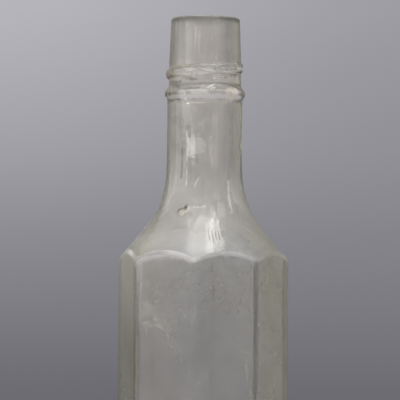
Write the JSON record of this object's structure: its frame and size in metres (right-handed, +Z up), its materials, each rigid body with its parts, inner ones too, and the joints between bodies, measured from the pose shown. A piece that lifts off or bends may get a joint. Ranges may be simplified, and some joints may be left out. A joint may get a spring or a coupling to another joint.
{
  "type": "glass bottle",
  "caption": "Empty eight-sided clear glass bottle with arched panels, a conical shoulder, a round neck and a tall open mouth band above a thread ridge and a collar.",
  "frame": {"origin": "middle of the footprint, on the plane the bottle stands on", "axes": "+Z up along the bottle's axis, towards the mouth; four of the body's flat panels face +X, -X, +Y and -Y"},
  "size_m": [0.057, 0.057, 0.228],
  "materials": {
    "bottle_glass": "clear glass with a faint warm grey-green tint, hazed inside by old contents, with seed bubbles and light wear"
  },
  "bodies": {
    "root": {"base": "bottle_glass", "body": "bottle_glass", "shoulder": "bottle_glass", "neck": "bottle_glass", "mouth_band": "bottle_glass", "collar": "bottle_glass", "thread": "bottle_glass"}
  },
  "joints": []
}
